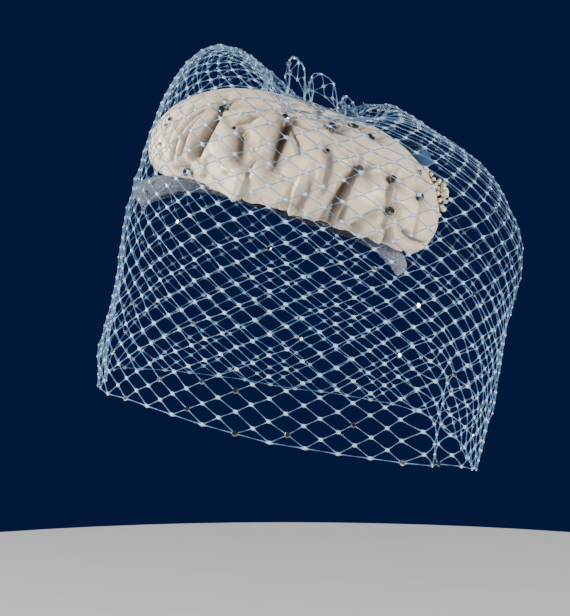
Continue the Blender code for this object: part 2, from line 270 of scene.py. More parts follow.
def satinMaterial():
    satin = Shader("ivorySatin", Anisotropic=0.3, Sheen_Weight=0.12, Sheen_Roughness=0.4)
    slub = satin.noise(900, 2.0, (1, 1, 6))
    cloud = satin.noise(38, 2.0)
    # painted shade: the satin darkens towards deep brown in its folds and round its tucks, the deeper the
    # fold the darker
    foldShade = satin.painted("crease")
    plain = satin.blend(cloud, color(230, 213, 189), color(237, 221, 199))
    satin.finish({
        "Base_Color": satin.blend(foldShade, plain, color(92, 78, 64)),
        "Roughness": 0.32 + 0.12 * slub,
        "Normal": satin.bump(slub, 0.06 * mm, 0.5),
    })
    return satin.material


def liningMaterial():
    cloth = Shader("lining", Roughness=0.8)
    weave = cloth.noise(1400, 1.0)
    cloth.finish({
        "Base_Color": cloth.blend(weave, color(188, 178, 164), color(208, 199, 186)),
        "Normal": cloth.bump(weave, 0.12 * mm, 0.6),
    })
    return cloth.material


def netMaterial():
    net = Shader("blueNet", Roughness=0.42, Coat_Weight=0.12)
    knot = net.painted("knot")
    uneven = net.noise(120, 1.0)
    strand = net.blend(uneven, color(58, 106, 150), color(86, 134, 174))
    near = net.blend(knot, strand, color(198, 220, 238))
    net.finish({
        # painted shade: the net is drawn a deeper blue at the back than in front, though it is one colour
        # all round
        "Base_Color": net.blend(net.painted("behind"), near, color(34, 78, 124)),
        "Alpha": 0.56 + 0.4 * knot,
    })
    return net.material


def crystalMaterial():
    crystal = Shader("darkCrystal", Metallic=0.9, Coat_Weight=0.8, Coat_Roughness=0.02)
    flaw = crystal.noise(500, 1.0)
    smoky = crystal.blend(flaw, color(70, 74, 72), color(134, 134, 118))
    tinted = crystal.blend(crystal.painted("aqua"), smoky, color(70, 128, 158))
    crystal.finish({
        "Base_Color": crystal.blend(crystal.painted("clear"), tinted, color(236, 238, 240)),
        "Roughness": 0.04 + 0.08 * flaw,
    })
    return crystal.material


def pearlMaterial():
    pearl = Shader("seedPearl", Coat_Weight=0.7, Coat_Roughness=0.12, Sheen_Weight=0.3)
    cloud = pearl.noise(400, 1.0)
    pearl.finish({
        "Base_Color": pearl.blend(cloud, color(226, 206, 160), color(244, 232, 202)),
        "Roughness": 0.24 + 0.1 * cloud,
    })
    return pearl.material


def wireMaterial():
    wire = Shader("goldWire", Metallic=1.0)
    scratch = wire.noise(900, 1.0)
    wire.finish({"Base_Color": color(196, 168, 112), "Roughness": 0.28 + 0.15 * scratch})
    return wire.material


def ribbonMaterial():
    ribbon = Shader("blueRibbon", Sheen_Weight=0.3)
    rib = ribbon.noise(700, 1.0, (1, 1, 8))
    ribbon.finish({
        "Base_Color": ribbon.blend(rib, color(6, 56, 110), color(20, 84, 144)),
        "Roughness": 0.3 + 0.15 * rib,
        "Normal": ribbon.bump(rib, 0.08 * mm, 0.5),
    })
    return ribbon.material


def tulleMaterial():
    tulle = Shader("greyTulle", Roughness=0.6, Sheen_Weight=0.4)
    mesh = tulle.noise(1300, 0.0)
    gather = tulle.noise(90, 2.0, (1, 1, 0.3))
    grey = tulle.blend(gather, color(82, 92, 112), color(130, 137, 150))
    tulle.finish({
        # painted shade: under the front of the rim, where shade falls, the band is near-black navy
        "Base_Color": tulle.blend(tulle.painted("front"), grey, color(26, 30, 46)),
        "Alpha": 0.04 + 0.54 * mesh,
        "Normal": tulle.bump(mesh, 0.15 * mm, 0.7),
    })
    return tulle.material


# Camera, light and floor

studio = {
    "lights": {  # place, size in metres, power and tint
        "key": ((-1.32, -0.45, 0.36), 0.26, 52, (1.0, 0.95, 0.89)),
        "fill": ((1.2, -0.65, 0.22), 0.4, 28, (1.0, 0.95, 0.89)),
        "rim": ((0.6, 0.9, 0.9), 0.9, 5, (1.0, 1.0, 1.0)),
        "front": ((0.25, -1.35, 0.25), 0.4, 5.5, (1.0, 0.96, 0.91)),
    },
    "backdrop": (0.004, 0.010, 0.050, 1),
    "floorRadius": 0.6,
    "floorLevel": -0.26,
    "floorSides": 96,
}


def addCamera():
    data = bpy.data.cameras.new("view")
    camera = addObject("view", data)
    middle = Vector((
        (photo["width"] / 2 - photo["originX"]) * photo["pixel"],
        0.0,
        (photo["originY"] - photo["height"] / 2) * photo["pixel"],
    ))
    camera.location = (middle.x, -view["distance"], 0.0)
    toMiddle = middle - camera.location
    camera.rotation_euler = toMiddle.to_track_quat("-Z", "Y").to_euler()
    data.sensor_width = view["sensor"]
    data.lens = view["sensor"] * toMiddle.length / (photo["height"] * photo["pixel"])
    data.clip_start = view["nearest"]
    bpy.context.scene.camera = camera
    bpy.context.view_layer.update()
    return camera


camera = addCamera()


def pixelRay(px, py):  # where a pixel of the photo looks, from the camera
    size = photo["height"] / view["sensor"]
    lens = camera.data.lens
    way = Vector(((px - photo["width"] / 2) / size, (photo["height"] / 2 - py) / size, -lens))
    return camera.location.copy(), (camera.matrix_world.to_3x3() @ way).normalized()


def addLight(name, place, size, power, tint):
    data = bpy.data.lights.new(name, "AREA")
    data.size = size
    data.energy = power
    data.color = tint
    light = addObject(name, data)
    light.location = place
    light.rotation_euler = (-Vector(place)).to_track_quat("-Z", "Y").to_euler()


def addStudio():
    for name, settings in studio["lights"].items():
        addLight(name, *settings)
    world = bpy.data.worlds.new("studio")
    world.use_nodes = True
    world.node_tree.nodes["Background"].inputs["Color"].default_value = studio["backdrop"]
    bpy.context.scene.world = world
    deselectAll()
    bpy.ops.mesh.primitive_circle_add(
        vertices=studio["floorSides"], radius=studio["floorRadius"], fill_type="NGON",
        location=(0, 0, studio["floorLevel"]),
    )
    floor = bpy.context.active_object
    floor.name = "floor"
    bpy.ops.object.transform_apply(location=True)
    pale = Shader("paleFloor", Roughness=0.7)
    pale.finish({"Base_Color": pale.blend(pale.noise(30), color(196, 198, 202), color(204, 206, 210))})
    floor.data.materials.append(pale.material)


addStudio()
print("camera, light and floor are in")

# The satin crown

satin = {
    "columns": 560,
    "rows": 144,
    "topRise": 0.995,
    "wall": 3.0 * mm,
    "liningRise": np.linspace(0.05, 0.99, 9),
    "liningSink": 6.5 * mm,
    "rimFollow": 0.6,  # how much of the rim's waves the lining's edge has
    "rimStep": 0.6 * mm,
    # the depth of each unevenness, and its noise as ringNoise reads it
    "wrinkle": (0.35 * mm, 40, 3.2, 0.0, 0.5),
    "swell": (0.9 * mm, 4.5, 2.2, 9.0),
    "pucker": (1.1 * mm, 26, 0.0, 5.0),
    # how far up each of them goes
    "wrinkleUpTo": (0.55, 0.9),
    "swellUpTo": (0.75, 1.0),
    "puckerRise": 0.06,
    "fullFoldShade": 6.0 * mm,  # the depth at which a fold's painted shade is darkest
    "foldShadeCurve": 0.8,
}
rim = {
    "lap": (258, 12, 1.3),  # degrees round, how many degrees wide, depth in mm
    "waves": ((9, 0.5, 0.6), (23, 0.4, 0.0)),  # how many go round, depth in mm, start
    "curl": (315, 25, 0.8, 31),  # as the lap, and how many waves go round
}
tuck = {
    "pit": 4.4 * mm,
    "radius": 5.6 * mm,
    "reach": 5,  # radii within which the satin is drawn in
    "rays": 7,
    "rayDepth": 1.1 * mm,
    "rayReach": 2.3,
    "rayBend": 0.9,
}
fold = {
    "scale": 1.9,
    "width": 0.88,
    "reach": 3.2,  # widths within which a fold is felt
    "startDip": 0.4,
    "startShare": 0.10,
    "openEnd": 0.9,  # a fold whose last end is shallower runs out between these shares
    "runOut": (0.72, 1.04),
    # how much of a fold's section is round, how wide that is, and how sharp the rest
    "valley": (0.65, 1.0, 1.4),
    "crease": (0.45, 1.7, 1.0),
    "lipReach": 6 * mm,
    "lipEdge": 0.7 * mm,
    "lipEnd": 4 * mm,
    "pathPoints": 28,
}

# The folds that the photo shows: the pixels that each passes, its depth and width in mm, and how
# deep its first and last ends are. A width of two numbers goes from the first to the second.
frontFolds = {
    "valley": (
        ([(219, 109), (211, 124), (200, 143), (188, 170)], 4.4, (2.2, 3.4), 1.0, 0.85),
        ([(211, 108), (194, 122), (182, 140), (175, 165)], 4.2, 2.0, 0.9, 0.85),
        ([(206, 105), (187, 120), (175, 138), (170, 160)], 3.5, 1.6, 0.8, 0.9),
        ([(198, 106), (180, 118), (168, 136), (165, 158)], 2.4, 1.5, 0.6, 0.8),
        ([(190, 104), (170, 120), (160, 140), (158, 162)], 1.9, 2.2, 0.5, 0.9),
        ([(222, 110), (228, 118), (233, 128), (238, 148)], 1.2, 3.2, 1.0, 0.8),
        ([(242, 130), (240, 146), (237, 170)], 3.9, (4.8, 7.5), 0.8, 0.7),
        ([(256, 146), (248, 160), (240, 178)], 2.2, 3.6, 0.5, 0.8),
        ([(208, 160), (205, 168), (204, 178)], 1.6, 2.6, 0.5, 0.9),
        ([(287, 115), (283, 128), (277, 147), (273, 166), (262, 194)], 4.3, (4.4, 8.0), 1.0, 0.50),
        ([(289, 117), (295, 130), (299, 146), (300, 160)], 2.4, 2.8, 1.0, 0.4),
        ([(232, 124), (243, 119), (258, 115), (270, 113)], 2.2, 2.6, 0.6, 0.8),
        ([(230, 104), (245, 102), (262, 105), (278, 109)], 2.0, 3.6, 0.8, 0.6),
        ([(322, 142), (328, 154), (327, 168), (323, 186), (317, 206)], 3.2, (3.0, 5.5), 0.5, 0.6),
        ([(347, 206), (343, 214), (340, 223)], 2.6, 2.2, 0.6, 0.9),
        ([(313, 172), (306, 188), (296, 209)], 2.2, 4.6, 0.4, 0.9),
        ([(392, 211), (380, 213), (366, 220), (352, 230)], 2.2, 3.4, 0.8, 0.9),
        ([(389, 228), (388, 235), (386, 243)], 2.6, 2.8, 0.6, 0.9),
        ([(397, 215), (399, 226), (400, 238)], 1.4, 2.2, 0.9, 0.5),
        ([(395, 175), (394, 165), (388, 154)], 1.0, 2.0, 0.9, 0.1),
        ([(422, 192), (415, 174), (404, 155)], 1.0, 1.8, 0.9, 0.2),
        ([(361, 163), (352, 152), (338, 142)], 1.0, 2.6, 0.8, 0.1),
        ([(366, 168), (378, 172), (390, 177)], 0.9, 2.2, 0.8, 0.8),
        ([(404, 232), (412, 241), (424, 245)], 2.2, 1.8, 0.9, 0.9),
        ([(351, 124), (347, 114), (345, 106)], 1.8, 3.0, 0.9, 0.9),
        ([(371, 132), (376, 123), (381, 118)], 1.8, 3.0, 0.9, 0.9),
        ([(316, 124), (318, 112), (319, 102)], 1.6, 3.4, 0.3, 0.9),
    ),
    "crease": (
        ([(290, 116), (302, 123), (316, 130)], 2.6, 1.8, 1.0, 0.3),
        ([(226, 104), (244, 108.6), (262, 111), (281, 112)], 3.6, 2.0, 0.9, 0.9),
        ([(222, 103), (224, 98), (228, 93)], 3.0, 2.2, 1.0, 0.5),
        ([(223, 102), (237, 96), (256, 96), (276, 101)], 3.4, 2.2, 0.9, 0.3),
        ([(359, 168), (352, 175), (345, 188), (337, 204), (325, 225)], 4.6, (1.6, 2.8), 0.8, 0.9),
        ([(393, 182), (390, 189), (389, 198), (391, 208)], 2.4, 1.0, 1.0, 1.0),
        ([(397, 183), (397, 190), (396.5, 198), (395, 207)], 1.8, 1.0, 1.0, 1.0),
        ([(391, 213), (386, 222), (380, 233)], 2.4, 1.3, 1.0, 0.7),
        ([(424, 200), (420, 216), (414, 238)], 2.2, 0.9, 0.9, 0.9),
    ),
    "ridge": (
        ([(214, 108), (201, 122), (192, 138), (186, 160)], 2.0, 1.5, 0.6, 0.8),
        ([(281, 117), (270, 130), (262, 142)], 1.0, 3.0, 0.6, 0.2),
        ([(363, 171), (357, 180), (350, 192)], 1.0, 1.8, 0.9, 0.2),
        ([(394, 184), (393.5, 192), (393, 200), (394, 207)], 1.3, 1.3, 0.9, 0.9),
        ([(392, 216), (389, 224), (385, 231)], 1.2, 1.4, 1.0, 0.4),
    ),
    "lip": (
        ([(262, 144), (256, 155), (247, 167), (241, 180), (238, 196)], 1.9, 5.0, 0.3, 1.0),
        ([(303, 168), (297, 182), (292, 196), (288, 212)], -1.6, 5.5, 0.4, 1.0),
        ([(243, 129), (256, 120), (268, 116), (282, 114)], 2.4, 3.6, 0.5, 0.9),
    ),
}

# Folds on the hidden side, each from the rim up to a tuck: degrees round below and above,
# how far up it goes, depth and width in mm.
backFolds = (
    (352, 346, 0.50, 2.6, 3.4), (8, 2, 0.46, 2.2, 2.6), (20, 20, 0.60, 3.6, 3.6), (33, 40, 0.62, 2.6, 2.6),
    (48, 60, 0.58, 4.4, 4.0), (64, 63, 0.58, 3.0, 2.4), (78, 88, 0.60, 3.4, 4.2), (92, 91, 0.62, 4.6, 3.6),
    (104, 94, 0.60, 2.4, 2.4), (117, 127, 0.58, 4.4, 4.2), (131, 129, 0.58, 2.8, 2.6),
    (146, 140, 0.60, 3.6, 3.8), (160, 164, 0.54, 3.4, 3.0), (172, 166, 0.54, 2.4, 2.4),
    (184, 178, 0.55, 2.8, 3.2),
)
backFold = {"scale": 0.75, "from": 0.02, "bend": 4, "ends": (0.5, 1.0), "points": 30}

tuckNames = sorted(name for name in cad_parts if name.startswith("tuck_crystal"))


def boxMiddle(name):
    low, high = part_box(name)
    return (Vector(low) + Vector(high)) / 2


def outlineTree(columns=160, rows=60):
    turn, rise = ringGrid(columns, np.linspace(0, 1, rows))
    points = toWorld(outline(turn, rise)).reshape(-1, 3)
    return BVHTree.FromPolygons([Vector(p) for p in points], gridFaces(rows, columns, True))


outlineSurface = outlineTree()


def onOutline(px, py):  # the place on the crown's outline that a pixel shows, in the hat's own frame
    hit = outlineSurface.ray_cast(*pixelRay(px, py))[0]
    return None if hit is None else toHat(hit)


def pixelPath(pixels):
    places = [onOutline(*p) for p in along(pixels, np.linspace(0, 1, fold["pathPoints"]))]
    return np.array([p for p in places if p is not None])


def deepen(press, near, depth):
    press["valley"][near] = np.maximum(press["valley"][near], depth)


def foldPress(points, path, kind, depth, width, ends, press):
    # adds one fold to press, which holds how far each point goes in or stands out
    depth = depth * fold["scale"] * mm
    widths = np.broadcast_to(width, 2) * fold["width"] * mm
    reach = fold["reach"] * widths.max() + (fold["lipReach"] if kind == "lip" else 0)
    near = np.nonzero(
        np.all(points > path.min(0) - reach, axis=1) & np.all(points < path.max(0) + reach, axis=1)
    )[0]
    if not len(near):
        return
    gaps = points[near][:, None, :] - path[None, :, :]
    far = np.linalg.norm(gaps, axis=2)
    best = far.argmin(1)
    each = np.arange(len(near))
    d = far[each, best]
    share = best / (len(path) - 1)
    wide = widths[0] + (widths[1] - widths[0]) * share
    taper = ends[0] + (ends[1] - ends[0]) * share
    taper = taper * (1 - fade(share, 0.0, fold["startShare"]) * fold["startDip"])
    if ends[1] < fold["openEnd"]:
        taper = taper * fade(share, *fold["runOut"])
    if kind == "lip":  # one side of the path stands out and the other goes in
        ahead = unit(np.gradient(path, axis=0))[best]
        side = unit(np.cross(ahead, unit(points[near])))
        s = np.einsum("ij,ij->i", gaps[each, best], side)
        past = np.sqrt(np.maximum(d**2 - s**2, 0))
        edge = np.tanh(s / fold["lipEdge"]) * np.exp(-np.abs(s) / wide)
        press["add"][near] += depth * taper * edge * np.exp(-((past / fold["lipEnd"]) ** 2))
    elif kind == "ridge":
        press["add"][near] += depth * taper * np.exp(-((d / wide) ** 2))
    else:
        soft, softWidth, sharpness = fold[kind]
        shape = soft * np.exp(-((d / (softWidth * wide)) ** 2)) + (1 - soft) * np.exp(-sharpness * d / wide)
        deepen(press, near, depth * taper * shape)


def tuckPress(points, middle, press):  # the satin is drawn in at a tuck, with rays round it
    gap = points - middle
    d = np.linalg.norm(gap, axis=1)
    near = np.nonzero(d < tuck["radius"] * tuck["reach"])[0]
    out = unit(middle)
    side = unit(np.cross([0.0, 0.0, 1.0], out))
    over = np.cross(out, side)
    angle = np.arctan2(gap[near] @ over, gap[near] @ side)
    start = middle[0] * 700 + middle[1] * 300  # another one for each tuck
    rays = 0.5 + 0.5 * np.cos(tuck["rays"] * angle + start + tuck["rayBend"] * np.sin(2 * angle + start))
    pit = tuck["pit"] * np.exp(-((d[near] / tuck["radius"]) ** 2))
    ray = tuck["rayDepth"] * rays * np.exp(-((d[near] / (tuck["rayReach"] * tuck["radius"])) ** 2))
    deepen(press, near, pit + ray)


def gatherPress(points):
    press = {"valley": np.zeros(len(points)), "add": np.zeros(len(points))}
    for kind, rows in frontFolds.items():
        for pixels, depth, width, first, last in rows:
            path = pixelPath(pixels)
            if len(path) > 3:
                foldPress(points, path, kind, depth, width, (first, last), press)
    share = np.linspace(0, 1, backFold["points"])
    for below, above, up, depth, width in backFolds:
        side = 1 if below % 3 else -1  # one in three bends the other way
        bend = backFold["bend"] * np.sin(share * math.pi) * side
        path = outline(np.radians(below + (above - below) * share + bend), backFold["from"] + up * share)
        foldPress(points, path, "valley", backFold["scale"] * depth, width, backFold["ends"], press)
    for name in tuckNames:
        tuckPress(points, toHat(np.array(boxMiddle(name))), press)
    return press


def rimDrop(turn):  # the lapped folds hang a little lower in front
    degrees = np.degrees(turn) % 360
    angle = np.radians(degrees)
    place, wide, depth = rim["lap"]
    drop = np.exp(-(((degrees - place) / wide) ** 2)) * depth
    for count, depth, start in rim["waves"]:
        drop += depth * np.sin(angle * count + start)
    place, wide, depth, count = rim["curl"]
    drop += depth * np.exp(-(((degrees - place) / wide) ** 2)) * np.sin(angle * count)
    return -drop * mm


def liningRows(rimHeights):  # rings from the rim's inner edge up to the top of the hollow
    columns = satin["columns"]
    turn = np.arange(columns) * 2 * math.pi / columns
    rings = []
    for rise, sink, step in ((0.0, satin["wall"], 0.0), (0.0, satin["liningSink"], satin["rimStep"])):
        ring = outline(turn, np.full(columns, rise), sink)
        ring[:, 2] = rimHeights * satin["rimFollow"] + step
        rings.append(ring)
    rings += [outline(turn, np.full(columns, rise), satin["liningSink"]) for rise in satin["liningRise"]]
    return rings


def makeCrown():
    columns, rows = satin["columns"], satin["rows"]
    turn, rise = (grid.ravel() for grid in ringGrid(columns, np.linspace(0, satin["topRise"], rows)))
    points = outline(turn, rise)
    press = gatherPress(points)
    nearRim = np.exp(-((rise / satin["puckerRise"]) ** 2))
    strength = {
        "wrinkle": fade(rise, *satin["wrinkleUpTo"]),
        "swell": fade(rise, *satin["swellUpTo"]),
        "pucker": nearRim,
    }
    for kind, where in strength.items():
        depth, *pattern = satin[kind]
        press["add"] += depth * ringNoise(turn, rise, *pattern) * where
    points = points + outlineNormal(turn, rise) * (press["add"] - press["valley"])[:, None]
    points[:, 2] += rimDrop(turn) * nearRim

    lining = liningRows(points[:columns, 2])
    inside = len(lining) * columns
    middles = [[0, 0, hat["height"]], [0, 0, hat["height"] - satin["liningSink"]]]
    everything = np.concatenate(lining[::-1] + [points, middles])
    top = len(everything) - 2
    lastRow = top - columns
    faces = gridFaces(top // columns, columns, True)
    faces += [(lastRow + c, lastRow + (c + 1) % columns, top) for c in range(columns)]
    faces += [((c + 1) % columns, c, top + 1) for c in range(columns)]
    crown = addPiece("crownSatin", toWorld(everything), faces, satinMaterial())
    crown.data.materials.append(liningMaterial())
    slots = np.zeros(len(faces), np.int32)
    slots[: inside - columns] = 1
    slots[-columns:] = 1
    crown.data.polygons.foreach_set("material_index", slots)
    # painted shade: how deep the satin is pressed in at each point sets how dark its colour is there
    crease = np.zeros(len(everything))
    crease[inside:top] = np.clip(press["valley"] / satin["fullFoldShade"], 0, 1) ** satin["foldShadeCurve"]
    paint(crown, "crease", crease)
    settle(crown, ["crown"])
    return crown


crown = makeCrown()
crownSurface = BVHTree.FromObject(crown, bpy.context.evaluated_depsgraph_get())
print("the satin crown is gathered")


def onSatin(px, py):  # the place on the satin that a pixel shows, and its normal
    return crownSurface.ray_cast(*pixelRay(px, py))[:2]


# The net

net = {
    "columns": 46,
    "cellHeight": 9.7 * mm,
    "strand": 0.28 * mm,
    "strandAtKnot": 0.72 * mm,
    "thick": 0.36 * mm,
    "knotThick": 0.9 * mm,
    "knotCorner": 0.82 * mm,
    "samples": (0.15, 0.5, 0.85),
    "paleEnds": 0.35,
    "frontSpread": 0.36,
    "spreadFrom": 45 * mm,
    "spreadBy": 125 * mm,
    "firstTurn": 0.012,  # share of a turn that places a column where the photo has it
    "jitter": 0.30 * mm,
    "seamJitter": 0.3,
    "sway": 1.3 * mm,
    "swayUpTo": (110 * mm, 150 * mm),
    # how many waves go round, how much each leans over a metre of height, and its start
    "swayWaves": ((3, 21.0, 0.3), (5, 34.0, 1.9), (8, 26.0, 4.1), (13, 58.0, 2.2)),
    "shortest": 2.5 * mm,
    "gatherWithin": 26 * mm,
    "gatherPull": 0.93,
    "gatherCurve": 1.4,
    "gatherTurns": (345, 8, 33, 58, 84, 110, 137, 163, 190, 214),
    "tackPull": 0.96,
    "seamRise": (0.80, 0.80, 0.80, 0.80, 0.80, 0.82, 0.84, 0.82),
    "lift": 1.2 * mm,
    "backShade": 0.55,  # how much painted shade deepens the net's blue at the back
    "backShadeFrom": (-10 * mm, 55 * mm),
    "width": 236 * mm,
    "depth": 200 * mm,
    "drop": 128 * mm,
}

# The veil's level sections, at each eighth of a turn from the low side round by the back.
# The upper rows follow the tilted hat, and the lower rows hang plumb.
veilSections = {
    "upperReach": (
        (0.44, 0.48, 0.46, 0.45, 0.40, 0.56, 0.76, 0.62),
        (0.69, 0.85, 0.73, 0.735, 0.64, 0.80, 0.87, 0.83),
        (1.17, 1.24, 1.01, 1.03, 0.86, 1.01, 0.99, 1.03),
        (1.49, 1.48, 1.18, 1.14, 0.99, 1.10, 1.07, 1.24),
    ),
    "upperLevel": (
        (1.20, 1.20, 1.02, 1.14, 1.14, 1.08, 0.89, 1.06),
        (1.14, 1.15, 0.98, 1.24, 1.26, 1.09, 0.81, 1.02),
        (0.94, 0.96, 0.82, 1.05, 1.13, 0.88, 0.64, 0.88),
        (0.545, 0.60, 0.46, 0.60, 0.55, 0.51, 0.38, 0.58),
    ),
    "lowerReach": (
        (1.0, 0.98, 0.88, 0.835, 0.655, 0.755, 0.80, 0.85),
        (0.95, 0.965, 0.92, 0.885, 0.70, 0.83, 0.88, 0.925),
        (0.875, 0.915, 0.92, 0.925, 0.755, 0.90, 0.94, 0.95),
        (0.79, 0.865, 0.88, 0.935, 0.762, 0.92, 0.97, 0.93),
    ),
    "lowerLevel": (
        (-0.21, -0.09, -0.08, 0.0, 0.015, -0.02, -0.06, -0.08),
        (-0.42, -0.375, -0.33, -0.25, -0.29, -0.29, -0.31, -0.355),
        (-0.72, -0.625, -0.55, -0.47, -0.49, -0.50, -0.56, -0.65),
        (-0.99, -0.836, -0.75, -0.656, -0.655, -0.67, -0.815, -0.925),
    ),
}
# Pixels where the net is tacked to a tuck, and how wide the pull is in mm
tacks = ((220, 104, 13), (286, 113, 17), (334, 124, 11), (361.6, 167, 8), (354, 121, 8), (372, 130, 8))


def sectionPoints(part, turn, width, depth, height):
    return [
        np.stack((
            around(reach, turn) * width / 2 * np.cos(turn),
            around(reach, turn) * depth / 2 * np.sin(turn),
            around(level, turn) * height,
        ), -1)
        for reach, level in zip(veilSections[part + "Reach"], veilSections[part + "Level"])
    ]


def makeVeilGrid(turns=360, levels=320, step=1 * mm):
    # Columns of points that hang plumb, each from the hem up, one step of cloth apart
    turn = np.arange(turns) * 2 * math.pi / turns
    seamRise = around(net["seamRise"], turn)
    seam = outline(turn, seamRise) + outlineNormal(turn, seamRise) * net["lift"]
    upper = sectionPoints("upper", turn, 2 * hat["halfWidth"], 2 * hat["halfDepth"], hat["height"])
    lower = sectionPoints("lower", turn, net["width"], net["depth"], net["drop"])
    guide = np.stack([toWorld(p) for p in (seam, *upper)] + lower)
    fine = along(guide, np.linspace(1, 0, levels))
    facing = np.arctan2(fine[..., 1] / net["depth"], fine[..., 0] / net["width"])
    plumb = np.empty_like(fine)
    for row in range(levels):
        for axis in range(3):
            plumb[row, :, axis] = np.interp(turn, facing[row], fine[row, :, axis], period=2 * math.pi)
    steps = np.linalg.norm(np.diff(plumb, axis=0), axis=2)
    length = np.concatenate((np.zeros((1, turns)), np.cumsum(steps, axis=0)))
    wanted = np.arange(0, length[-1].max() + step, step)
    grid = np.empty((len(wanted), turns, 3))
    for column in range(turns):
        for axis in range(3):
            grid[:, column, axis] = np.interp(wanted, length[:, column], plumb[:, column, axis])
    return grid, length[-1], step


veilGrid, veilLengths, veilStep = makeVeilGrid()


def readGrid(turn, up):  # the veil's surface at a turn and at a length of cloth up from the hem
    levels, turns = veilGrid.shape[:2]
    t = (turn / (2 * math.pi) % 1.0) * turns
    d = np.clip(up / veilStep, 0, levels - 1.001)
    t0, d0 = t.astype(int) % turns, d.astype(int)
    t1 = (t0 + 1) % turns
    ft, fd = (t - np.floor(t))[..., None], (d - d0)[..., None]
    low = veilGrid[d0, t0] * (1 - ft) + veilGrid[d0, t1] * ft
    high = veilGrid[d0 + 1, t0] * (1 - ft) + veilGrid[d0 + 1, t1] * ft
    return low * (1 - fd) + high * fd


# A pleat in the low front of the veil: how far up from the hem in mm, and its turn in degrees
pleat = {
    "path": ((0, 308.5), (10, 308.8), (22, 310.2), (34, 311.5), (45, 313.5), (57, 312.8), (70, 311.5)),
    "halfWidth": math.radians(8),
    "squeeze": 0.80,
    "full": 30 * mm,
    "gone": 72 * mm,
}


def shortWay(turn):  # the same turn between half a turn back and half a turn on
    return np.angle(np.exp(1j * turn))


def lengthAt(turn):
    place = turn / (2 * math.pi) % 1.0 * len(veilLengths)
    return np.interp(place, np.arange(len(veilLengths) + 1), np.append(veilLengths, veilLengths[0]))


def gathered(turn, up):  # near the seam the columns draw together at the tacked places
    away = shortWay(turn[..., None] - gatherTurns)
    nearest = np.take_along_axis(away, np.abs(away).argmin(-1)[..., None], -1)[..., 0]
    share = fade(lengthAt(turn) - up, 0.0, net["gatherWithin"]) ** net["gatherCurve"]
    return turn - nearest * net["gatherPull"] * share


def columnTurn(u, up):  # the columns stand wider apart over the front of the hat
    fromFront = (u + net["firstTurn"]) * 2 * math.pi
    spread = net["frontSpread"] * (1 - fade(up, net["spreadFrom"], net["spreadBy"]))
    turn = 1.5 * math.pi + fromFront + spread * np.sin(fromFront)
    heights, turns = np.array(pleat["path"]).T
    away = shortWay(turn - np.radians(np.interp(up, heights * mm, turns)))
    near = np.exp(-((away / pleat["halfWidth"]) ** 4))
    return turn - away * (pleat["squeeze"] * near * fade(up, pleat["full"], pleat["gone"]))


def seamLength(u):  # how much cloth there is from the hem to the seam
    return lengthAt(columnTurn(u, np.full_like(u, net["spreadBy"])))


def tackPlaces():
    places = []
    for px, py, reach in tacks:
        place, normal = onSatin(px, py)
        if place is not None:
            places.append((np.array(place + normal * net["thick"]), reach * mm))
    return places


tackedPlaces = tackPlaces()
gatherTurns = np.array(
    [math.atan2(place[1] / net["depth"], place[0] / net["width"]) for place, _ in tackedPlaces]
    + [math.radians(turn) for turn in net["gatherTurns"]]
)


def veilPlace(u, row):
    up = row * net["cellHeight"] / 2
    turn = gathered(columnTurn(u, up), up)
    points = readGrid(turn, up)
    waves = net["swayWaves"]
    sway = sum(np.sin(count * turn + up * lean + start) for count, lean, start in waves) / len(waves)
    outward = unit(points * np.array([1.0, 1.0, 0.0]))
    points = points + outward * (sway * net["sway"] * fade(up, *net["swayUpTo"]))[..., None]
    for place, reach in tackedPlaces:
        gap = points - place
        pull = net["tackPull"] * np.exp(-((np.linalg.norm(gap, axis=-1) / reach) ** 2))
        points = points - gap * pull[..., None]
    return points


def layKnots(rows, columns, closed):
    # Knots lie at whole columns on even rows and at half columns on odd rows
    knotAt, knots = {}, []
    for r in range(rows):
        for c in range(columns if closed else columns + 1 - r % 2):
            knotAt[r, c] = len(knots)
            knots.append(((c + 0.5 * (r % 2)) / columns, r))
    return knotAt, np.array(knots, float)


def tieStrands(knotAt, rows, columns, closed, sewn, edges):
    # The knots that each strand joins and how many columns it goes across, none between sewn knots
    strands = []
    for (r, c), start in knotAt.items():
        steps, half = ((0, 1), -0.5) if r % 2 else ((-1, 0), 0.5)
        ways = [(r + 1, step, step + half) for step in steps]
        if r == 0 and "bottom" in edges or r + 1 == rows and "top" in edges:
            ways.append((r, 1, 1.0))
        for row, step, across in ways:
            end = knotAt.get((row, (c + step) % columns if closed else c + step))
            if end is not None and not (sewn[start] and sewn[end]):
                strands.append((start, end, across))
    return (np.array(part) for part in zip(*strands))


def strandFaces(strands, samples):
    faces = []
    for s in range(strands):
        for a in range(s * samples * 4, (s + 1) * samples * 4 - 4, 4):
            faces += [(a + j, a + (j + 1) % 4, a + 4 + (j + 1) % 4, a + 4 + j) for j in range(4)]
    return faces


def tieKnot(points, faces, heart, out, right, above, ways):
    # Joins the ends of the strands that meet at a knot: ways holds the angle and end of each
    deep, deepKnot = net["thick"] / 2, net["knotThick"] / 2
    ways.sort(key=lambda way: way[0])
    over = len(points)
    points += [heart + out * deepKnot, heart - out * deepKnot]
    for j, (angle, (rightTop, leftTop, rightBack, leftBack)) in enumerate(ways):
        nextAngle, (nextTop, _, nextBack, _) = ways[(j + 1) % len(ways)]
        between = angle + ((nextAngle - angle) % (2 * math.pi) or 2 * math.pi) / 2
        reach = net["knotCorner"] * (right * math.cos(between) + above * math.sin(between))
        corner = len(points)
        points += [heart + reach + out * deep, heart + reach - out * deep]
        faces += [
            (over, rightTop, leftTop), (over, leftTop, corner), (over, corner, nextTop),
            (over + 1, leftBack, rightBack), (over + 1, corner + 1, leftBack),
            (over + 1, nextBack, corner + 1),
            (leftTop, leftBack, corner + 1, corner), (corner, corner + 1, nextBack, nextTop),
        ]


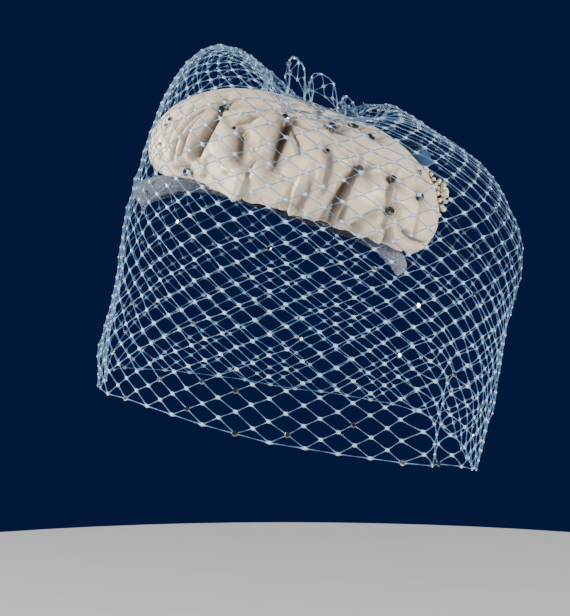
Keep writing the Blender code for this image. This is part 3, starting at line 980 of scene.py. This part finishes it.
def makeNet(name, place, rows, columns, closed, limit=None, edges=("bottom",), seed=1):
    # Place gives the points at some columns and rows. Limit says how many rows of cloth there
    # are at a column, and the knots above that lie on the seam.
    luck = random.Random(seed)
    knotAt, knots = layKnots(rows, columns, closed)
    top = np.full(len(knots), rows - 1.0) if limit is None else limit(knots[:, 0])
    onSeam = knots[:, 1] >= top
    knots[:, 1] = np.minimum(knots[:, 1], top)
    sewn = onSeam if limit else np.zeros(len(knots), bool)
    first, second, across = tieStrands(knotAt, rows, columns, closed, sewn, edges)
    jitter = np.array([[luck.gauss(0, net["jitter"]) for _ in range(3)] for _ in knots])
    jitter[onSeam] *= net["seamJitter"]
    heart = place(knots[:, 0], knots[:, 1]) + jitter
    far = np.linalg.norm(heart[first] - heart[second], axis=1) > net["shortest"]
    first, second, across = first[far], second[far], across[far] / columns
    small, smallRow = 0.1 / columns, 0.1

    def slopes(u, v):  # how the net's surface runs across and up
        return (
            place(u + small, v) - place(u - small, v),
            place(u, v + smallRow) - place(u, v - smallRow),
        )

    t = np.array(net["samples"])[None, :]
    u = knots[first, 0][:, None] + across[:, None] * t
    v = knots[first, 1][:, None] + (knots[second, 1] - knots[first, 1])[:, None] * t
    drift = heart[first] - place(knots[first, 0], knots[first, 1])
    driftEnd = heart[second] - place(knots[first, 0] + across, knots[second, 1])
    middle = place(u, v) + drift[:, None, :] * (1 - t[..., None]) + driftEnd[:, None, :] * t[..., None]
    nodes = np.concatenate((heart[first][:, None], middle, heart[second][:, None]), axis=1)
    onward = unit(nodes[:, 2:] - nodes[:, :-2])
    side = unit(np.cross(unit(np.cross(*slopes(u, v))), onward))
    out = np.cross(onward, side) * net["thick"] / 2
    ends = np.abs(2 * t - 1)[..., None] ** 2
    side = side * (net["strand"] + (net["strandAtKnot"] - net["strand"]) * ends) / 2
    ring = np.stack((
        middle + side + out, middle - side + out, middle - side - out, middle + side - out,
    ), axis=2)  # strand, sample, (left top, right top, right back, left back), axis
    count = len(net["samples"])
    points, faces = list(ring.reshape(-1, 3)), strandFaces(len(first), count)
    paler = list(np.repeat(np.broadcast_to(ends[..., 0], middle.shape[:2]).ravel() * net["paleEnds"], 4))

    knotAcross, knotUp = slopes(knots[:, 0], knots[:, 1])
    knotOut = unit(np.cross(knotAcross, knotUp))
    right = unit(np.cross(knotOut, np.cross(unit(knotAcross), knotOut)))
    above = np.cross(knotOut, right)
    meeting = [[] for _ in knots]
    for s, (a, b) in enumerate(zip(first, second)):
        for knot, sample, order in ((a, 0, (1, 0, 2, 3)), (b, count - 1, (0, 1, 3, 2))):
            way = middle[s, sample] - heart[knot]
            corners = [(s * count + sample) * 4 + j for j in order]
            meeting[knot].append((math.atan2(way @ above[knot], way @ right[knot]), corners))
    used = np.array([bool(ways) for ways in meeting])
    for knot in np.nonzero(used)[0]:
        tieKnot(points, faces, heart[knot], knotOut[knot], right[knot], above[knot], meeting[knot])
    paler += [1.0] * (len(points) - len(paler))
    piece = addPiece(name, points, faces, netFinish)
    paint(piece, "knot", paler)
    # painted shade: the back of the net is given a deeper blue
    paint(piece, "behind", net["backShade"] * (1 - fade(np.array(points)[:, 1], *net["backShadeFrom"])))
    return piece, heart[used], knotOut[used]


netFinish = netMaterial()


def makeVeil():
    rows = int(2 * veilLengths.max() / net["cellHeight"]) + 2
    veil, hearts, outs = makeNet(
        "veilNet", veilPlace, rows, net["columns"], True, lambda u: 2 * seamLength(u) / net["cellHeight"]
    )
    settle(veil, ["veil"])
    print("the veil has", len(hearts), "knots")
    return hearts, outs


veilKnots, veilOut = makeVeil()

# The narrow loops of net on the top: degrees round and rise of the first foot, then of the second,
# the loop's height and depth as shares of the hat's height, and its flat length and width
loops = (
    (221, 0.850, 247, 0.870, 0.34, 0.20, 40 * mm, 12 * mm),
    (256, 0.865, 298, 0.865, 0.27, 0.20, 40 * mm, 12 * mm),
    (312, 0.865, 334, 0.850, 0.20, 0.16, 32 * mm, 10 * mm),
)
loopNet = {
    "rows": 3,
    "columns": 4,
    "lean": 6 * mm,  # towards the high side
    "lift": 0.8 * mm,
    "pinch": 0.22,
    "narrowing": 0.25,
    "fromRise": 0.4,  # share of the crown's profile that the loops' feet can stand on
    "lowest": 0.68,  # how low a row's arch may be beside the tallest
    "arches": 2.6,
}


def makeLoop(number, row):
    fromTurn, fromRise, toTurn, toRise, height, deep, length, width = row
    first = outline(math.radians(fromTurn), fromRise)
    second = outline(math.radians(toTurn), toRise)
    profile = along(hat["profile"], np.linspace(loopNet["fromRise"], 1, 200))
    rows, columns = loopNet["rows"], loopNet["columns"]

    def place(u, row):
        back = row / (rows - 1)
        swell = np.sin(math.pi * np.clip(u, 0, 1))
        pinch = loopNet["pinch"] * np.sin(2 * math.pi * u) * swell
        onward = (u - pinch) * (1 - loopNet["narrowing"] * back * swell)
        flat = first + (second - first) * onward[..., None]
        x, y = flat[..., 0], flat[..., 1] + deep * hat["height"] * (0.25 + 0.75 * swell) * back
        reach = np.hypot(x / hat["halfWidth"], y / hat["halfDepth"])
        level = np.interp(reach, profile[::-1, 0], profile[::-1, 1]) * hat["height"]
        arch = loopNet["lowest"] + (1 - loopNet["lowest"]) * np.sin(loopNet["arches"] * back + number)
        z = level + loopNet["lift"] + height * hat["height"] * swell**0.6 * arch
        return toWorld(np.stack((x - loopNet["lean"] * swell, y, z), -1))

    edges = ("top", "bottom")
    loop, hearts, _ = makeNet(f"netLoop{number}", place, rows, columns, False, None, edges, number)
    settle(loop, [f"veil_loop_{number}"])
    return hearts


loopHearts = [makeLoop(number, row) for number, row in enumerate(loops, start=1)]
print("the loops of net are in")

# Stones and pearls are copies of one small shape, each with its own place, direction and size

stoneCut = {
    "sides": 8,
    "girdle": 0.16,
    "level": 0.42,
    "crown": (1, 0.42, 0.58),  # which way up, how tall, and how wide its flat is
    "base": (-1, 0.34, 0.62),
}


def takeShape(piece):  # the points and faces of a shape that was modelled with tools
    points = np.array([v.co for v in piece.data.vertices])
    faces = [tuple(p.vertices) for p in piece.data.polygons]
    mesh = piece.data
    bpy.data.objects.remove(piece)
    bpy.data.meshes.remove(mesh)
    return points, faces


def pickFaces(piece, upward):
    shape = bmesh.from_edit_mesh(piece.data)
    for face in shape.faces:
        face.select_set(face.normal.z * upward > 0.9)
    shape.select_flush_mode()
    bmesh.update_edit_mesh(piece.data)


def stoneShape():  # a round stone of radius 1 with a table, a girdle and turned facets
    deselectAll()
    bpy.ops.mesh.primitive_cylinder_add(
        vertices=stoneCut["sides"], radius=1.0, depth=stoneCut["girdle"], location=(0, 0, stoneCut["level"])
    )
    stone = bpy.context.active_object
    bpy.ops.object.transform_apply(location=True)
    bpy.ops.object.mode_set(mode="EDIT")
    bpy.context.tool_settings.mesh_select_mode = (False, False, True)
    halfFacet = math.pi / stoneCut["sides"]
    for upward, rise, share in (stoneCut["crown"], stoneCut["base"]):
        bpy.ops.mesh.select_all(action="DESELECT")
        pickFaces(stone, upward)
        bpy.ops.mesh.extrude_region_move(TRANSFORM_OT_translate={"value": (0, 0, upward * rise)})
        bpy.ops.transform.resize(value=(share, share, 1), center_override=(0, 0, 0))
        bpy.ops.transform.rotate(value=halfFacet, orient_axis="Z", center_override=(0, 0, 0))
    bpy.ops.mesh.select_all(action="SELECT")
    bpy.ops.mesh.vert_connect_nonplanar(angle_limit=0.01)
    bpy.ops.object.mode_set(mode="OBJECT")
    return takeShape(stone)


def pearlShape():
    deselectAll()
    bpy.ops.mesh.primitive_uv_sphere_add(segments=12, ring_count=8, radius=1.0)
    return takeShape(bpy.context.active_object)


def standUp(normal, turn=0.0):  # a frame whose third axis is the normal
    normal = Vector(normal).normalized()
    return np.array(normal.to_track_quat("Z", "Y").to_matrix() @ Matrix.Rotation(turn, 3, "Z"))


def addCopies(name, shape, places, material, smooth, tints=()):
    # places holds a point, a direction and a size for each copy, and tints how aqua and clear it is
    points, faces = shape
    allPoints, allFaces = [], []
    luck = random.Random(name)
    for copy, (place, normal, size) in enumerate(places):
        start = copy * len(points)
        allPoints.append(points @ (standUp(normal, luck.uniform(0, math.pi)) * size).T + np.array(place))
        allFaces += [tuple(start + i for i in face) for face in faces]
    piece = addPiece(name, np.concatenate(allPoints), allFaces, material, smooth)
    for channel, values in zip(("aqua", "clear"), zip(*tints)):
        paint(piece, channel, np.repeat(values, len(points)))
    return piece


stone = stoneShape()
crystalLook = crystalMaterial()

# How aqua and how clear each tint is
tintOf = {
    "smoky": (0.0, 0.0), "aqua": (0.8, 0.2), "blue": (0.6, 0.0), "clear": (0.1, 0.8), "olive": (0.1, 0.12),
}
crystals = {  # sizes are half the width of a stone, and each is sunk by so much
    "tuckSize": 2.25 * mm,
    "tuckSink": 1.3 * mm,
    "tuckUpright": 1.2,
    "smallSize": 1.25 * mm,
    "smallSink": 0.4 * mm,
    "netSink": 0.2 * mm,
    "netSize": (1.2, 1.5),  # in mm
    "hiddenSize": (1.1, 1.4),
    "hiddenTints": ("smoky", "olive", "clear", "aqua"),
    "hiddenTries": 60,
    "hiddenBehind": -10 * mm,
    "hiddenBelow": 60 * mm,
    "loopSize": 1.3 * mm,
    "loopForward": 0.6 * mm,
    "loopFacing": (0, -1, 0.2),
    "farther": 0.02,  # a knot farther from the camera has to be this much closer to the pixel
}
tuckTints = (
    "blue", "blue", "blue", "clear", "olive", "olive", "aqua", "clear",
    "blue", "olive", "olive", "smoky", "olive", "smoky", "aqua",
)
# Where the photo shows the small stones that lie on the satin between the tucks
smallStonePixels = ((327.5, 151), (170, 119), (234, 128.5))
loopStonePixels = ((292, 69), (290, 68))
# The stones on the net: the pixel and the colour of each
netStonePixels = (
    (362, 102, "smoky"), (457, 137, "smoky"), (502, 213, "clear"), (276, 246, "smoky"), (184, 228, "smoky"),
    (384, 269, "clear"), (295, 339, "smoky"), (399, 362, "smoky"), (242, 397, "smoky"), (351, 418, "smoky"),
    (131, 298, "clear"), (136, 299, "aqua"), (193, 317, "clear"), (199, 372, "aqua"), (157, 372, "clear"),
    (110, 353, "clear"), (190, 416, "smoky"), (234, 424, "smoky"), (124, 391, "clear"), (294, 440, "smoky"),
    (102, 373, "clear"), (470, 292, "olive"), (424, 313, "clear"), (463, 375, "olive"), (453, 425, "aqua"),
    (395, 458, "clear"), (444, 463, "smoky"), (476, 438, "olive"), (142, 212, "clear"), (337, 92, "clear"),
    (511, 305, "olive"), (493, 383, "olive"), (363, 96, "clear"), (247, 30, "clear"),
)


def makeTuckStones():
    for name, tint in zip(tuckNames, tuckTints):
        middle = boxMiddle(name)
        upright = np.array([1.0, 1.0, crystals["tuckUpright"]])
        out = toWorld(unit(toHat(np.array(middle)) * upright))
        place = (middle - crystals["tuckSink"] * Vector(out), out, crystals["tuckSize"])
        pieceName = name.replace("tuck_crystal_", "tuckStone")
        piece = addCopies(pieceName, stone, [place], crystalLook, False, [tintOf[tint]])
        settle(piece, [name])


def makeSmallStones():
    places = []
    for px, py in smallStonePixels:
        place, normal = onSatin(px, py)
        places.append((place - normal * crystals["smallSink"], normal, crystals["smallSize"]))
    piece = addCopies("smallStones", stone, places, crystalLook, False, [tintOf["smoky"]] * len(places))
    settle(piece)


def nearestKnot(px, py, hearts):  # the knot that a pixel shows, and the front one of two in line
    start, way = (np.array(v) for v in pixelRay(px, py))
    gap = hearts - start
    ahead = gap @ way
    off = np.linalg.norm(gap - ahead[:, None] * way, axis=1)
    return int(np.argmin(off + crystals["farther"] * ahead))


def makeNetStones(hearts, outs, loopHearts):
    luck = random.Random(12)
    places, tints, taken = [], [], set()

    def addOnKnot(knot, sizes):
        size = luck.uniform(*sizes) * mm
        places.append((hearts[knot] - outs[knot] * crystals["netSink"], outs[knot], size))

    for px, py, tint in netStonePixels:
        knot = nearestKnot(px, py, hearts)
        taken.add(knot)
        addOnKnot(knot, crystals["netSize"])
        tints.append(tintOf[tint])
    for knot in luck.sample(range(len(hearts)), crystals["hiddenTries"]):
        behind = hearts[knot][1] > crystals["hiddenBehind"] and knot not in taken
        if behind and hearts[knot][2] < crystals["hiddenBelow"]:
            addOnKnot(knot, crystals["hiddenSize"])
            tints.append(tintOf[luck.choice(crystals["hiddenTints"])])
    for px, py in loopStonePixels:
        heart = loopHearts[nearestKnot(px, py, loopHearts)]
        place = heart - np.array([0, crystals["loopForward"], 0])
        places.append((place, crystals["loopFacing"], crystals["loopSize"]))
        tints.append(tintOf["clear"])
    piece = addCopies("netStones", stone, places, crystalLook, False, tints)
    settle(piece)


makeTuckStones()
makeSmallStones()
makeNetStones(veilKnots, veilOut, np.concatenate(loopHearts))
print("the crystals are sewn on")

# The spray of seed pearls on the low side

spray = {
    "turn": math.radians(2),
    "rise": 0.40,
    "halfWidth": 8.5 * mm,
    "halfLength": 12.5 * mm,
    "lift": 1.0 * mm,
    "dome": 4.2 * mm,
    "centre": 5,
    "centreStart": 0.4,
    "centreReach": 0.22,
    "centreLift": 0.5 * mm,
    "centreSize": (1.05, 1.2),  # times a pearl's radius
    "sprigs": 7,
    "sprigJitter": 0.3,
    "sprigBend": 0.25,
    # how far out each pearl of a sprig lies, and how far to its side in steps
    "sprigPearls": ((0.47, 0.4), (0.75, -1.2), (1.0, 0.9)),
    "sprigStep": 1.25 * mm,
    "sprigLift": 0.2 * mm,
    "sprigSize": (0.82, 1.08),
    "pearl": 1.2 * mm,
    "wire": 0.16 * mm,
    "wireReach": np.linspace(0.1, 0.97, 8),
    "wireSink": 1.0 * mm,
}


def seatOnSatin(turn, rise):  # a point of the satin, with its directions round, up and out
    guess = toWorld(outline(np.array(turn), np.array(rise)))
    out = toWorld(outlineNormal(np.array(turn), np.array(rise)))
    place = crownSurface.find_nearest(Vector(guess))[0]
    rounding = toWorld(unit(np.array([-math.sin(turn), math.cos(turn), 0.0])))
    return np.array(place), rounding, np.cross(out, rounding), out


def addWires(paths):
    curve = bpy.data.curves.new("sprayWires", "CURVE")
    curve.dimensions = "3D"
    curve.bevel_depth = spray["wire"]
    curve.bevel_resolution = 1
    curve.use_fill_caps = True
    for path in paths:
        spline = curve.splines.new("POLY")
        spline.points.add(len(path) - 1)
        for point, place in zip(spline.points, path):
            point.co = (*place, 1.0)
    curve.materials.append(wireMaterial())
    return addObject("sprayWires", curve)


def makeSpray():
    luck = random.Random(5)
    start, rounding, upward, out = seatOnSatin(spray["turn"], spray["rise"])

    def onDome(angle, share, over):
        sideways = rounding * math.cos(angle) * spray["halfWidth"]
        lengthways = upward * math.sin(angle) * spray["halfLength"]
        ground = crownSurface.find_nearest(Vector(start + (sideways + lengthways) * share))[0]
        return np.array(ground) + out * (spray["lift"] + spray["dome"] * (1 - share**2) + over)

    places, wires = [], []
    for k in range(spray["centre"]):
        angle = k * math.pi / 2 + spray["centreStart"]
        share = 0.0 if k == spray["centre"] - 1 else spray["centreReach"]
        size = spray["pearl"] * luck.uniform(*spray["centreSize"])
        places.append((onDome(angle, share, spray["centreLift"]), out, size))
    for sprig in range(spray["sprigs"]):
        angle = (sprig + spray["sprigJitter"] * luck.random()) * 2 * math.pi / spray["sprigs"]
        bend = luck.uniform(-spray["sprigBend"], spray["sprigBend"])
        wires.append([onDome(angle + bend * s, s, -spray["wireSink"]) for s in spray["wireReach"]])
        for share, side in spray["sprigPearls"]:
            sideways = side * spray["sprigStep"] / (max(share, 0.3) * spray["halfLength"])
            size = spray["pearl"] * luck.uniform(*spray["sprigSize"])
            places.append((onDome(angle + bend * share + sideways, share, spray["sprigLift"]), out, size))
    pearls = addCopies("seedPearls", pearlShape(), places, pearlMaterial(), True)
    settle(pearls, ["pearl_spray"])
    settle(addWires(wires))


makeSpray()
print("the pearl spray is in")

# The blue satin bow behind the lower shoulder

bow = {
    "turn": math.radians(36),
    "rise": 0.58,
    "lift": 0.6 * mm,
    "width": 12 * mm,
    "loop": 18.5 * mm,
    "belly": 8 * mm,
    "bellyLift": 1.0 * mm,
    "lap": 1.2 * mm,  # how far a loop's two ends lie apart
    "narrow": 0.55,  # a loop's width at the knot, as a share of its width at the end
    "gather": 0.9 * mm,
    "gathers": 15,
    "cup": 0.8 * mm,
    "knot": 7 * mm,
    "knotGap": 0.6 * mm,
    "knotOver": 3.0 * mm,
    "knotWidth": 0.78,
    "waist": 0.12,
    "waistGather": 0.03,
    "waistGathers": 40,
    "thick": 0.5 * mm,
    "length": 49,  # points along a loop and across it
    "across": 13,
    "wrapSides": 32,
    "wrapRows": 15,
}


def thicken(piece, thickness):
    wall = piece.modifiers.new("wall", "SOLIDIFY")
    wall.thickness = thickness
    wall.offset = 0.0


def squared(value):  # a wave with flatter sides, for a ring that is nearly square
    return np.abs(value) ** 0.7 * np.sign(value)


def makeBow():
    start, rounding, upward, out = seatOnSatin(bow["turn"], bow["rise"])
    start = start + out * bow["lift"]
    look = ribbonMaterial()

    def onHat(x, y, z):
        return start + x[..., None] * rounding + y[..., None] * upward + z[..., None] * out

    share, across = np.meshgrid(
        np.linspace(0.0, 1.0, bow["length"]), np.linspace(-0.5, 0.5, bow["across"]), indexing="ij"
    )
    length = bow["loop"] * (1 - np.cos(2 * math.pi * share)) / 2
    height = bow["belly"] / 2 * np.sin(2 * math.pi * share) + bow["lap"] * (0.5 - share)
    flare = bow["narrow"] + (1 - bow["narrow"]) * length / bow["loop"]
    cup = bow["cup"] * (across * 2) ** 2 * np.where(share < 0.5, -1, 1)
    for number, way in ((1, 1), (2, -1)):
        gather = bow["gather"] * np.sin(across * bow["gathers"] + number) * (1 - length / bow["loop"]) ** 1.5
        x = way * (bow["knot"] / 2 + bow["knotGap"] + length)
        z = bow["belly"] / 2 + bow["bellyLift"] + height + gather + cup
        points = onHat(x, across * bow["width"] * flare, z).reshape(-1, 3)
        loop = addPiece(f"ribbonLoop{number}", points, gridFaces(bow["length"], bow["across"], False), look)
        thicken(loop, bow["thick"])
        settle(loop, [f"ribbon_loop_{number}"])

    sides, rows = bow["wrapSides"], bow["wrapRows"]
    turn, across = ringGrid(sides, np.linspace(-0.5, 0.5, rows))
    tall = bow["belly"] / 2 + bow["knotOver"]
    waist = 1 - bow["waist"] * np.cos(across * 2 * math.pi)
    waist = waist + bow["waistGather"] * np.sin(across * bow["waistGathers"])
    points = onHat(
        squared(np.cos(turn)) * waist * bow["knot"] / 2,
        across * bow["width"] * bow["knotWidth"],
        tall / 2 + squared(np.sin(turn)) * waist * tall / 2,
    )
    faces = [face[::-1] for face in gridFaces(rows, sides, True)]
    faces += [tuple(range(sides)), tuple(range(rows * sides - 1, (rows - 1) * sides - 1, -1))]
    wrap = addPiece("ribbonWrap", points.reshape(-1, 3), faces, look)
    settle(wrap, ["ribbon_knot"])


makeBow()
print("the bow is in")

# The gathered tulle under the rim

band = {
    "sides": 480,
    "rows": 18,
    "inside": 9 * mm,
    "lower": 0.6 * mm,
    "frontDrop": 1.6 * mm,
    "highDrop": 18.5 * mm,
    "lowDrop": 12 * mm,
    "highFlare": 14 * mm,
    "lowFlare": 5 * mm,
    "flareTurn": 0.82,  # how far round half a wave the flare goes, so how much the hem turns in
    "gather": 1.6 * mm,
    "gathers": 38,
    "gatherTall": 1.5,
    "sideCurve": 7,  # how little of the band drops and flares beside the two ends
    "darkCurve": 3,  # how soon the shade under the front ends beside it
    "gatherBelow": (-2 * mm, 4 * mm),
    "wall": 0.45 * mm,
    "inset": 7.3 * mm,
}


def makeBand():
    turn, share = ringGrid(band["sides"], np.linspace(0, 1, band["rows"]))
    side = np.abs(np.cos(turn)) ** band["sideCurve"]
    high = np.cos(turn) < 0
    drop = band["frontDrop"] + (np.where(high, band["highDrop"], band["lowDrop"]) - band["frontDrop"]) * side
    height = band["inside"] - (band["inside"] + drop) * share
    below = np.clip(-height / drop, 0, 1)
    flare = np.where(high, band["highFlare"], band["lowFlare"]) * side
    flare = flare * np.sin(below * band["flareTurn"] * math.pi)
    ripple = ringNoise(turn, share, band["gathers"], band["gatherTall"])
    spread = flare + band["gather"] * ripple * fade(height, *band["gatherBelow"])
    outward = unit(np.stack((np.cos(turn), np.sin(turn), 0 * turn), -1))
    points = outline(turn, 0 * turn, band["inset"]) + outward * spread[..., None]
    points[..., 2] = height - band["lower"]
    faces = [face[::-1] for face in gridFaces(band["rows"], band["sides"], True)]
    tulle = addPiece("tulleBand", toWorld(points).reshape(-1, 3), faces, tulleMaterial())
    # painted shade under the front of the rim, fading towards the sides
    paint(tulle, "front", np.clip(1 - side.ravel() * band["darkCurve"], 0, 1))
    thicken(tulle, band["wall"])
    settle(tulle, ["inner_band"])


makeBand()
print("the tulle band is in")
